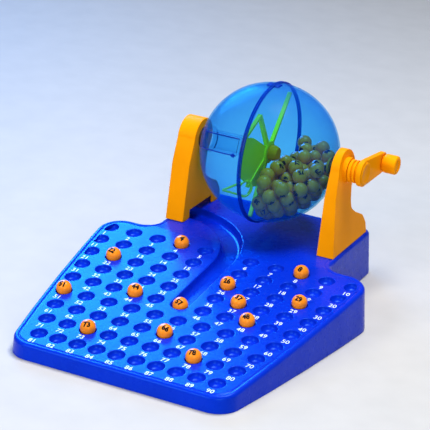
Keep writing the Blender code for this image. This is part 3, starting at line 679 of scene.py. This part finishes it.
def figure(text, height, depth, longest=None, bold=0.0):
    """Solid digits as points and faces: centred on the origin, standing up along +Y.

    Longest is the longest edge allowed, so that the digits can follow a ball's surface.
    """
    curve = bpy.data.curves.new("figure", "FONT")
    curve.body = text
    curve.size = 1.0
    curve.resolution_u = 3
    curve.offset = bold
    item = add_object("figure", curve)
    graph = bpy.context.evaluated_depsgraph_get()
    mesh = bpy.data.meshes.new_from_object(item.evaluated_get(graph))
    bpy.data.objects.remove(item, do_unlink=True)
    bm = bmesh.new()
    bm.from_mesh(mesh)
    bmesh.ops.remove_doubles(bm, verts=bm.verts, dist=1e-4)
    xs = [vert.co.x for vert in bm.verts]
    ys = [vert.co.y for vert in bm.verts]
    scale = height / (max(ys) - min(ys))
    middle = Vector(((max(xs) + min(xs)) / 2, (max(ys) + min(ys)) / 2, 0.0))
    for vert in bm.verts:
        vert.co = (vert.co - middle) * scale
    if longest:
        for _ in range(3):
            long_edges = [edge for edge in bm.edges if edge.calc_length() > longest]
            if not long_edges:
                break
            bmesh.ops.subdivide_edges(bm, edges=long_edges, cuts=1)
            bmesh.ops.triangulate(bm, faces=bm.faces)
    made = bmesh.ops.extrude_face_region(bm, geom=bm.faces[:])
    for vert in (part for part in made["geom"] if isinstance(part, bmesh.types.BMVert)):
        vert.co.z += depth
    bm.verts.index_update()
    result = ([vert.co.copy() for vert in bm.verts],
              [[vert.index for vert in face.verts] for face in bm.faces])
    bm.free()
    return result


def add_figure(bm, shape, place):
    """Add a figure's faces, each point moved by place(point)."""
    points, faces = shape
    made = [bm.verts.new(place(point)) for point in points]
    for face in faces:
        corners = [made[index] for index in face]
        if bm.faces.get(corners) is None:
            bm.faces.new(corners)


LABEL_FORWARD = 9.6 * MM
LABEL_HEIGHT = 3.9 * MM
LABEL_THICK = 0.16 * MM
LABEL_SINK = 0.05 * MM


def build_labels():
    bm = bmesh.new()
    for number in range(1, BALL_COUNT + 1):
        across, along = pocket_spot(number)
        shape = figure(str(number), LABEL_HEIGHT, LABEL_THICK)

        def place(point):
            return on_tray(across + point.x, along - LABEL_FORWARD + point.y,
                           point.z - LABEL_SINK)
        add_figure(bm, shape, place)
    labels = finish_mesh("pocket_numbers", bm, PRINT_WHITE)
    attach(labels, "stand")


# ---------------- balls

CALLED_FIGURE = 4.2 * MM
CAGE_FIGURE = 3.6 * MM
FIGURE_THICK = 0.14 * MM
FIGURE_SINK = 0.03 * MM


def add_ball(bm, centre, segments):
    matrix = Matrix.Translation(centre)
    bmesh.ops.create_uvsphere(bm, u_segments=segments, v_segments=segments // 2,
                              radius=BALL_R, matrix=matrix)


def ball_number(bm, text, centre, facing, up, height):
    """Print a number on a ball, centred where it faces along a direction."""
    facing = facing.normalized()
    side = up.cross(facing).normalized()
    upward = facing.cross(side)
    shape = figure(text, height, FIGURE_THICK, longest=0.9 * MM, bold=0.05)

    def place(point):
        ray = facing * BALL_R + side * point.x + upward * point.y
        return centre + ray.normalized() * (BALL_R - FIGURE_SINK + point.z)
    add_figure(bm, shape, place)


def build_called_balls():
    spots = {f"called_ball_{number:02d}": (str(number), f"called_ball_{number:02d}")
             for number in CALLED}
    spots["drawn_ball"] = (str(DRAWN), "drawn_ball")
    noise = np.random.default_rng(7)
    for node, (text, body) in spots.items():
        low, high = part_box(node)
        centre = (Vector(low) + Vector(high)) / 2
        bm = bmesh.new()
        add_ball(bm, centre, segments=48)
        ball = finish_mesh(f"{node}_shell", bm, ORANGE)
        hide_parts(node)
        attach(ball, body)
        lean = noise.uniform(-0.25, 0.25, 3)
        facing = Vector((0.25 + lean[0], -0.75 + lean[1], 1.0))
        up = Vector((lean[2] * 1.6, 1.0, 0.4))
        bm = bmesh.new()
        ball_number(bm, text, centre, facing, up, CALLED_FIGURE)
        mark = finish_mesh(f"{node}_number", bm, PRINT_BLACK)
        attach(mark, body)


def heap_of_balls(count):
    """Settle balls in the bottom of the globe, right of the selector, as in the CAD model.

    The balls start on a loose lattice and sink a little at every step, while each pair,
    the shell, the hub, the flange, the ring and the ring's sweep push them apart.
    """
    space = BALL_R + 0.15 * MM
    reach = GLOBE_R - SHELL - 0.4 * MM - space
    left_limit = RING_SWEEP_X + GAP + space
    right_limit = FLANGE_X - GAP - space
    hub_limit = 6.5 * MM + space
    ring_limit = 9.0 * MM + space
    noise = np.random.default_rng(HEAP_SEED)
    lattice = [(x, y, z) for z in np.arange(-40, 30, HEAP_PITCH)
               for y in np.arange(-36, 37, HEAP_PITCH) for x in np.arange(8, 44, HEAP_PITCH)]
    spots = np.array(lattice) * MM
    spots = spots[np.linalg.norm(spots, axis=1) < reach]
    spots = spots[np.hypot(spots[:, 1], spots[:, 2]) > hub_limit][:count]
    spots += noise.uniform(-1, 1, spots.shape) * MM
    for step in range(HEAP_STEPS):
        sink = HEAP_SINK if step < HEAP_SINKING else 0.0
        spots[:, 0] += sink * HEAP_LEAN[0]
        spots[:, 1] += sink * HEAP_LEAN[1]
        spots[:, 2] -= sink
        for _ in range(4 if step < HEAP_SINKING else 1):
            gap = spots[:, None] - spots[None]
            length = np.linalg.norm(gap, axis=2) + np.eye(count)
            bite = np.clip(2 * space - length, 0, None) * (1 - np.eye(count))
            spots += (gap / length[:, :, None] * bite[:, :, None]).sum(axis=1) * 0.45
            spots[:, 0] = np.maximum(spots[:, 0], left_limit)
            from_axis = np.hypot(spots[:, 1], spots[:, 2])
            beside_hub = spots[:, 0] < HUB_CAP_X + space
            push = np.where(beside_hub, np.maximum(hub_limit / from_axis, 1.0), 1.0)
            spots[:, 1:] *= push[:, None]
            from_ring = spots - np.array(RING_AT)
            length = np.linalg.norm(from_ring, axis=1)
            spots += from_ring * (np.maximum(ring_limit / length, 1.0) - 1.0)[:, None]
            by_flange = from_axis < FLANGE_R + space
            spots[by_flange, 0] = np.minimum(spots[by_flange, 0], right_limit)
            length = np.linalg.norm(spots, axis=1)
            spots *= np.minimum(reach / length, 1.0)[:, None]
    return spots + np.array(AXLE)


def build_cage_balls():
    heap = heap_of_balls(CAGE_BALLS)
    noise = np.random.default_rng(11)
    bm = bmesh.new()
    for centre in heap:
        add_ball(bm, Vector(centre), segments=24)
    balls = finish_mesh("cage_balls", bm, ORANGE)
    nodes = [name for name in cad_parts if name.startswith("cage_ball_")]
    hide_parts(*nodes)
    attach(balls, "stand")
    out = set(CALLED) | {DRAWN}
    names = [number for number in range(1, BALL_COUNT + 1) if number not in out]
    bm = bmesh.new()
    for number, centre in zip(names, heap):
        facing = Vector(noise.normal(0, 1, 3)) + Vector((0.2, -0.6, 0.4))
        ball_number(bm, str(number), Vector(centre), facing,
                    Vector(noise.normal(0, 1, 3)), CAGE_FIGURE)
    marks = finish_mesh("cage_ball_numbers", bm, PRINT_BLACK)
    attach(marks, "stand")


# ---------------- supports

def support_profile(inset=0.0):
    """Side view of a support as (y, z): a long foot, a column and a round head."""
    head = arc((AXLE_Y, AXLE_Z), HEAD_R, -22, 172, 44)
    foot = [(-27.2, 0, 0), (32.8, 0, 0), (31.7, 8, 5), (26.6, 15.2, 6), (13.6, 21.6, 8),
            (6.7, 26.5, 5), (5.7, 33.0, 12), (7.5, 43.0, 0)]
    corners = [(AXLE_Y + y * MM, FOOT_Z + z * MM, radius * MM) for y, z, radius in foot]
    corners += [(y, z, 0.0) for y, z in head]
    corners.append((AXLE_Y - 21.0 * MM, FOOT_Z + 41.5 * MM, 0.0))
    points = round_corners(corners, 7)
    if inset:
        normals = outward_normals(points)
        points = [point - normal * inset for point, normal in zip(points, normals)]
    return [(point.x, point.y) for point in points]


def open_bottom(outline, depth):
    """Deepen an outline between its two lowest points, so its hollow is open underneath."""
    (front, low), (back, _) = outline[:2]
    return [outline[0], (front, low - depth), (back, low - depth)] + outline[1:]


def box_outline(y0, y1, z0, z1):
    return [(y0, z0), (y1, z0), (y1, z1), (y0, z1)]


def build_tabs(side, name):
    """Tabs that reach from a support's foot down through the platform."""
    x = side * TAB_X
    for index, y in enumerate(TAB_YS, start=1):
        outline = box_outline(y - TAB_HALF[1], y + TAB_HALF[1], PLATFORM_Z - 5 * MM,
                              FOOT_Z + 3 * MM)
        piece = prism(f"{name}_{index}", outline, x - TAB_HALF[0], x + TAB_HALF[0], YELLOW)
        round_edges(piece, 0.25 * MM)
        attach(piece, "stand")


def disc(name, low, high, radius, steps=48, centre=AXLE, material=YELLOW):
    return lathe(name, [(low, 0.0), (low, radius), (high, radius), (high, 0.0)], material,
                 steps, centre)


def build_left_support():
    outer_x = -SUPPORT_INNER_X - LEFT_THICK
    support = prism("left_support_shell", support_profile(), outer_x, -SUPPORT_INNER_X, YELLOW)
    inner_wall_x = -SUPPORT_INNER_X - LEFT_FACE
    hollow = open_bottom(support_profile(SUPPORT_WALL), 4 * MM)
    combine(support, prism("hollow", hollow, outer_x - 1 * MM, inner_wall_x, YELLOW))
    arch = box_outline(AXLE_Y - 16.4 * MM, AXLE_Y + 19.6 * MM, FOOT_Z - 1 * MM, FOOT_Z + 6 * MM)
    through = (inner_wall_x - 2 * MM, -SUPPORT_INNER_X + 1 * MM)
    combine(support, prism("arch", arch, *through, YELLOW))
    combine(support, disc("bore", *through, TUBE_R + GAP))
    round_edges(support, 0.55 * MM)
    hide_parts("left_support")
    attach(support, "stand")
    build_tabs(-1, "left_support_tab")
    cover = prism("left_cover", support_profile(SUPPORT_WALL + GAP), outer_x, outer_x + COVER,
                  YELLOW)
    round_edges(cover, 0.3 * MM)
    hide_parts("left_support_cover")
    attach(cover, "stand")


def right_face(_, z):
    """How far right the right support's outer face is at a height."""
    return SUPPORT_INNER_X + RIGHT_THICK - (z - FOOT_Z) * RIGHT_LEAN


def build_right_support():
    support = prism("right_support_shell", support_profile(), SUPPORT_INNER_X, right_face, YELLOW)
    hollow_top = FOOT_Z + 42 * MM
    hollow = open_bottom([point for point in support_profile(SUPPORT_WALL)
                          if point[1] < hollow_top], 4 * MM)
    combine(support, prism("hollow", hollow, SUPPORT_INNER_X + RIGHT_FACE,
                           lambda y, z: right_face(y, z) - RIGHT_FACE, YELLOW))
    combine(support, disc("boss", SUPPORT_INNER_X + 2 * MM, BOSS_END_X, BOSS_R), "UNION")
    combine(support, disc("bore", SUPPORT_INNER_X - 2 * MM, BOSS_END_X + 2 * MM, SHAFT_R + GAP))
    round_edges(support, 0.55 * MM)
    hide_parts("right_support")
    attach(support, "stand")
    build_tabs(1, "right_support_tab")


# ---------------- globe

def shell_profile(side, pole_bore):
    """Half a globe as (x, radius): outer skin and inner skin, open at the seam and pole."""
    steps = 40
    skins = []
    for radius in (GLOBE_R, GLOBE_R - SHELL):
        first = math.asin(pole_bore / radius)
        last = math.acos(GAP / 2 / radius)
        skins.append([(radius * math.cos(first + (last - first) * step / steps),
                       radius * math.sin(first + (last - first) * step / steps))
                      for step in range(steps + 1)])
    profile = skins[0] + skins[1][::-1]
    return [(side * x, radius) for x, radius in profile]


def at_door(x, out, side):
    """Point at distances out from the axle, through the door's middle, and across from it."""
    return (x, AXLE_Y - out * math.cos(DOOR_ANGLE) + side * math.sin(DOOR_ANGLE),
            AXLE_Z + out * math.sin(DOOR_ANGLE) + side * math.cos(DOOR_ANGLE))


def door_space(name, shrink):
    """Block through the front of the shell, straight out along the door's middle."""
    half = DOOR_HALF - shrink
    outline = [(DOOR_X[0] + shrink, -half), (DOOR_X[1] - shrink, -half),
               (DOOR_X[1] - shrink, half), (DOOR_X[0] + shrink, half)]
    rings = [[at_door(x, out, side) for x, side in outline] for out in (20 * MM, 60 * MM)]
    return loft(name, rings, CLEAR_BLUE)


def build_seam(name, side, node_body):
    """The flange where the two halves meet."""
    near, far = side * (GAP / 2 + 0.02 * MM), side * SEAM_HALF
    inner = GLOBE_R - 0.15 * MM
    profile = [(near, inner), (near, SEAM_R - 0.4 * MM), (near + side * 0.3 * MM, SEAM_R),
               (far - side * 0.4 * MM, SEAM_R), (far, SEAM_R - 0.5 * MM), (far, inner)]
    seam = lathe(name, profile, SEAM_BLUE, 144)
    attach(seam, node_body)


def door_rib(name, across):
    """Raised line round the door's skin, at a distance across from the door's middle."""
    half = 0.45 * MM
    inner, outer = GLOBE_R - 0.2 * MM, GLOBE_R + 0.35 * MM
    steps = 40
    rings = []
    for step in range(steps + 1):
        x = DOOR_X[0] + 0.3 * MM + (DOOR_X[1] - DOOR_X[0] - 0.6 * MM) * step / steps
        ring = []
        for side, radius in ((-half, inner), (half, inner), (half, outer), (-half, outer)):
            shift = across + side
            out = math.sqrt(radius * radius - x * x - shift * shift)
            ring.append(at_door(x, out, shift))
        rings.append(ring)
    return loft(name, rings, SEAM_BLUE)


def build_door_lines():
    edge = DOOR_HALF - 0.2 * MM - 0.4 * MM
    for name, across in (("door_line_upper", edge), ("door_line_lower", -edge)):
        line = door_rib(name, across)
        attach(line, "door")
    x = DOOR_X[1] - 2.4 * MM
    out = math.sqrt(GLOBE_R ** 2 - x * x - edge * edge)
    facing = Vector((x, -out * math.cos(DOOR_ANGLE) - edge * math.sin(DOOR_ANGLE),
                     out * math.sin(DOOR_ANGLE) - edge * math.cos(DOOR_ANGLE))).normalized()
    bm = bmesh.new()
    turn = facing.to_track_quat("Z", "Y").to_matrix().to_4x4()
    bmesh.ops.create_cone(bm, cap_ends=True, segments=28, radius1=1.5 * MM, radius2=1.3 * MM,
                          depth=0.9 * MM,
                          matrix=Matrix.Translation(AXLE + facing * (GLOBE_R + 0.15 * MM)) @ turn)
    latch = finish_mesh("door_latch", bm, SEAM_BLUE)
    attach(latch, "door")


def build_seam_clip():
    """Low block over the seam at the top of the globe."""
    outline = [(AXLE_Y + y * MM, AXLE_Z + z * MM)
               for y, z in ((-3.4, 49.5), (3.4, 49.5), (3.4, 50.5), (2.8, 50.95), (-2.8, 50.95),
                            (-3.4, 50.5))]
    clip = prism("globe_clip", outline, -4.6 * MM, 4.6 * MM, SEAM_BLUE)
    round_edges(clip, 0.25 * MM)
    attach(clip, "cage")


def build_globe():
    left = lathe("globe_left_shell", shell_profile(-1, TUBE_R + GAP), CLEAR_BLUE, 128)
    combine(left, door_space("space", 0.0))
    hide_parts("cage_left_half")
    right = lathe("globe_right_shell", shell_profile(1, SHAFT_R + GAP), CLEAR_BLUE, 128)
    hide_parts("cage_right_half")
    door = lathe("globe_door", shell_profile(-1, TUBE_R + GAP), CLEAR_BLUE, 128)
    combine(door, door_space("strip", 0.2 * MM), "INTERSECT")
    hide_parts("cage_door")
    for item, body in ((left, "cage"), (right, "cage"), (door, "door")):
        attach(item, body)
    build_seam("globe_seam_left", -1, "cage")
    build_seam("globe_seam_right", 1, "cage")
    build_seam_clip()
    build_door_lines()


# ---------------- on the axle

def build_axle_pieces():
    collar_x = -math.sqrt((GLOBE_R - SHELL) ** 2 - (TUBE_R + COLLAR) ** 2) + 0.8 * MM
    chamfer = 0.3 * MM
    start, end = TUBE_X
    profile = [(start, TUBE_BORE_R), (start, TUBE_R - chamfer), (start + chamfer, TUBE_R),
               (collar_x, TUBE_R), (collar_x, TUBE_R + COLLAR),
               (collar_x + 1.2 * MM, TUBE_R + COLLAR), (collar_x + 1.2 * MM, TUBE_R),
               (end - chamfer, TUBE_R), (end, TUBE_R - chamfer), (end, TUBE_BORE_R)]
    tube = lathe("exit_tube_fine", profile, TUBE_BLUE, 64)
    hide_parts("exit_tube")
    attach(tube, "cage")
    collar_x = math.sqrt((GLOBE_R - SHELL) ** 2 - FLANGE_R ** 2) - 0.9 * MM
    end_x = HUB_END_X - 2.4 * MM
    profile = [(FLANGE_X, 0.0), (FLANGE_X, FLANGE_R - chamfer), (FLANGE_X + chamfer, FLANGE_R),
               (collar_x, FLANGE_R), (collar_x, SHAFT_R), (end_x, SHAFT_R), (end_x, 0.0)]
    shaft = lathe("drive_shaft_fine", profile, YELLOW, 40)
    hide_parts("drive_shaft")
    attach(shaft, "cage")
    profile = [(GAP, 0.0), (GAP, CAP_R - chamfer), (GAP + chamfer, CAP_R), (3.6 * MM, CAP_R),
               (4.2 * MM, 5.4 * MM), (6.3 * MM, 4.6 * MM), (HUB_CAP_X, 4.2 * MM), (HUB_CAP_X, 0.0)]
    hub = lathe("selector_hub_fine", profile, YELLOW, 40)
    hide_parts("selector_hub")
    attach(hub, "cage")


def bar(start, end, half_start, half_end):
    """Outline of a tapered bar between two (y, z) points in mm from the axle."""
    first = Vector((start[0] * MM + AXLE_Y, start[1] * MM + AXLE_Z))
    last = Vector((end[0] * MM + AXLE_Y, end[1] * MM + AXLE_Z))
    along = (last - first).normalized()
    turn = math.degrees(math.atan2(along.y, along.x))
    return (arc(last, half_end * MM, turn - 90, turn + 90, 8)
            + arc(first, half_start * MM, turn + 90, turn + 270, 8))


def add_rod(bm, start, end, radius):
    axis = end - start
    turn = axis.to_track_quat("Z", "Y").to_matrix().to_4x4()
    place = Matrix.Translation((start + end) / 2) @ turn
    bmesh.ops.create_cone(bm, cap_ends=True, segments=14, radius1=radius, radius2=radius,
                          depth=axis.length, matrix=place)


def build_selector():
    low, high = SELECTOR_X
    apex = (-18.0, 32.3)
    back_tip = (31.2, 35.2)
    low_tip = (-23.4, -40.7)
    elbow = (-17.6, -20.7)
    front_tip = (-40.8, 22.6)
    ring_root = (-31.2, -15.9)
    selector = disc("selector_fine", low, high, HUB_R, 40, material=LIME)
    bars = (((-1.0, 3.0), apex, 1.6, 1.2), ((3.0, 3.4), back_tip, 1.4, 0.9),
            ((-2.0, -3.0), low_tip, 1.6, 1.1), (apex, front_tip, 1.15, 1.1),
            ((-3.0, -1.0), ring_root, 1.4, 1.1))
    for rank, (start, end, half_start, half_end) in enumerate(bars, start=1):
        slim = rank * 0.06 * MM
        piece = prism("bar", bar(start, end, half_start, half_end), low + slim, high - slim, LIME)
        combine(selector, piece, "UNION")
    fin = [front_tip, (-27.4, 18.8), (-5.0, 5.6), (-2.0, -2.0), elbow, ring_root,
           (-33.6, -11.2), (-36.9, -10.9), (-46.4, -4.0), (-45.6, 9.0)]
    fin = [(y * MM + AXLE_Y, z * MM + AXLE_Z) for y, z in fin]
    combine(selector, prism("fin", fin, low + 0.9 * MM, high - 0.9 * MM, LIME), "UNION")
    centre = Vector((RING_AT[0], AXLE_Y + RING_AT[1], AXLE_Z + RING_AT[2]))
    half = 1.2 * MM
    chamfer = 0.3 * MM
    profile = [(-half, RING_INNER + chamfer), (chamfer - half, RING_INNER),
               (half - chamfer, RING_INNER), (half, RING_INNER + chamfer),
               (half, RING_OUTER - chamfer), (half - chamfer, RING_OUTER),
               (chamfer - half, RING_OUTER), (-half, RING_OUTER - chamfer)]
    ring = lathe("ring", profile, LIME, 48, centre)
    ring.data.transform(Matrix.Translation(centre) @ Matrix.Rotation(-RING_TURN, 4, "Z")
                        @ Matrix.Translation(-centre))
    combine(selector, ring, "UNION")
    for sign in (-1, 1):
        bm = bmesh.new()
        root = centre + Vector((0.0, 0.0, sign * (RING_OUTER - 0.6 * MM)))
        tip = Vector((LOOP_TIP[0], AXLE_Y + LOOP_TIP[1], AXLE_Z + LOOP_TIP[2]))
        tip += Vector((0.2 * sign * MM, 0.0, 0.1 * sign * MM))
        add_rod(bm, root, tip, (0.8 + 0.04 * sign) * MM)
        combine(selector, finish_mesh("loop", bm, LIME), "UNION")
    weight_normals(selector)
    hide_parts("selector")
    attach(selector, "cage")


def build_crank():
    chamfer = 0.3 * MM
    ribs = [(HUB_START_X, SHAFT_R + GAP), (HUB_START_X, RIB_R - chamfer),
            (HUB_START_X + chamfer, RIB_R)]
    for start in (65.2 * MM, 68.0 * MM):
        end = start + 1 * MM
        ribs += [(start - chamfer, RIB_R), (start, RIB_R - chamfer), (start, GROOVE_R),
                 (end, GROOVE_R), (end, RIB_R - chamfer), (end + chamfer, RIB_R)]
    ribs += [(HUB_END_X - 0.8 * MM, RIB_R), (HUB_END_X - 0.25 * MM, RIB_R - chamfer),
             (HUB_END_X, 7.3 * MM), (HUB_END_X, 6.2 * MM), (HUB_END_X - 0.7 * MM, 5.7 * MM),
             (HUB_END_X - 0.7 * MM, 0.0), (HUB_END_X - 2.0 * MM, 0.0),
             (HUB_END_X - 2.0 * MM, SHAFT_R + GAP)]
    hub = lathe("crank_hub", ribs, YELLOW, 72)
    near = arc((AXLE_Y, AXLE_Z), 9.6 * MM, 78, 274, 36)
    far = arc(KNOB_AT, 7.6 * MM, -94, 86, 30)
    arm = prism("arm", near + far, *ARM_X, YELLOW)
    combine(arm, disc("clear", 69 * MM, 74 * MM, 6.4 * MM))
    round_edges(arm, 0.6 * MM)
    apply_modifiers(arm, 50.0)
    combine(hub, arm, "UNION")
    pin_centre = Vector((0.0, KNOB_AT[0], KNOB_AT[1]))
    combine(hub, disc("bore", 68 * MM, 75 * MM, ARM_BORE_R, 32, pin_centre))
    weight_normals(hub)
    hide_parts("crank_arm")
    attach(hub, "cage")
    start = KNOB_START_X
    profile = [(start, KNOB_BORE_R), (start, KNOB_R - 1.1 * MM),
               (start + 0.4 * MM, KNOB_R - 0.6 * MM),
               (start + 2 * MM, KNOB_R), (KNOB_END_X - 1.6 * MM, KNOB_R),
               (KNOB_END_X - 0.5 * MM, KNOB_R - 0.4 * MM), (KNOB_END_X, KNOB_R - 1.4 * MM),
               (KNOB_END_X, 4.3 * MM), (KNOB_END_X - 0.4 * MM, 3.9 * MM),
               (KNOB_END_X - 2.2 * MM, 3.9 * MM), (KNOB_END_X - 2.2 * MM, KNOB_BORE_R)]
    knob = lathe("knob_fine", profile, YELLOW, 64, pin_centre)
    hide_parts("crank_knob")
    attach(knob, "knob")
    end = KNOB_END_X
    profile = [(69.8 * MM, 0.0), (69.8 * MM, PIN_R), (end - 1.9 * MM, PIN_R),
               (end - 1.9 * MM, 3.4 * MM), (end - 1.0 * MM, 3.4 * MM), (end - 0.7 * MM, 3.0 * MM),
               (end - 0.7 * MM, 0.0)]
    pin = lathe("knob_pin_fine", profile, YELLOW, 36, pin_centre)
    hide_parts("knob_pin")
    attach(pin, "cage")


# ---------------- stage

VIEW_AZIMUTH = math.radians(25.6)
VIEW_ELEVATION = math.radians(22.4)
VIEW_ROLL = math.radians(3.3)
VIEW_DISTANCE = 1.294
LENS = 160.0


def build_camera():
    low, high = (Vector(corner) for corner in cad_box)
    target = (low + high) / 2
    back = Vector((math.sin(VIEW_AZIMUTH) * math.cos(VIEW_ELEVATION),
                   -math.cos(VIEW_AZIMUTH) * math.cos(VIEW_ELEVATION),
                   math.sin(VIEW_ELEVATION)))
    camera = bpy.data.cameras.new("camera")
    camera.lens = LENS
    item = add_object("camera", camera)
    turn = back.to_track_quat("Z", "Y").to_matrix().to_4x4()
    item.matrix_world = (Matrix.Translation(target + back * VIEW_DISTANCE) @ turn
                         @ Matrix.Rotation(VIEW_ROLL, 4, "Z"))
    bpy.context.scene.camera = item


def area_light(name, place, size, power, colour=(1, 1, 1)):
    light = bpy.data.lights.new(name, "AREA")
    light.size = size
    light.energy = power
    light.color = colour
    item = add_object(name, light)
    item.location = place
    aim = Vector((0.0, 0.02, 0.04)) - Vector(place)
    item.rotation_euler = aim.to_track_quat("-Z", "Y").to_euler()
    return item


def build_stage():
    bm = bmesh.new()
    bmesh.ops.create_grid(bm, x_segments=1, y_segments=1, size=4.0)
    floor_material, nodes, links, shader = new_material("floor_paper")
    grain = add_noise(nodes, links, 40.0)
    tone = add_ramp(nodes, links, grain.outputs["Fac"], (0.52, 0.52, 0.52, 1),
                    (0.55, 0.55, 0.55, 1))
    links.new(tone.outputs["Color"], shader.inputs["Base Color"])
    set_sockets(shader, {"Roughness": 0.8})
    floor = finish_mesh("floor", bm, floor_material)
    world = bpy.data.worlds.new("studio")
    world.use_nodes = True
    set_sockets(world.node_tree.nodes["Background"],
                {"Color": (0.92, 0.96, 1.0, 1), "Strength": 0.16})
    bpy.context.scene.world = world
    area_light("key", (0.12, 0.18, 1.1), size=0.4, power=14.0)
    area_light("front", (-0.45, -1.0, 0.6), size=0.5, power=7.5)
    area_light("side", (0.6, -0.9, 0.35), size=0.4, power=5.0, colour=(1.0, 0.92, 0.78))
    card = area_light("card", (-0.72, 0.62, 0.58), size=0.6, power=40.0,
                      colour=(0.02, 0.33, 1.0))
    card.visible_diffuse = False
    card.visible_transmission = False
    bpy.context.scene.view_settings.view_transform = "Standard"


build_camera()
build_stage()
build_tray()
build_labels()
build_called_balls()
build_cage_balls()
build_left_support()
build_right_support()
build_globe()
build_axle_pieces()
build_selector()
build_crank()
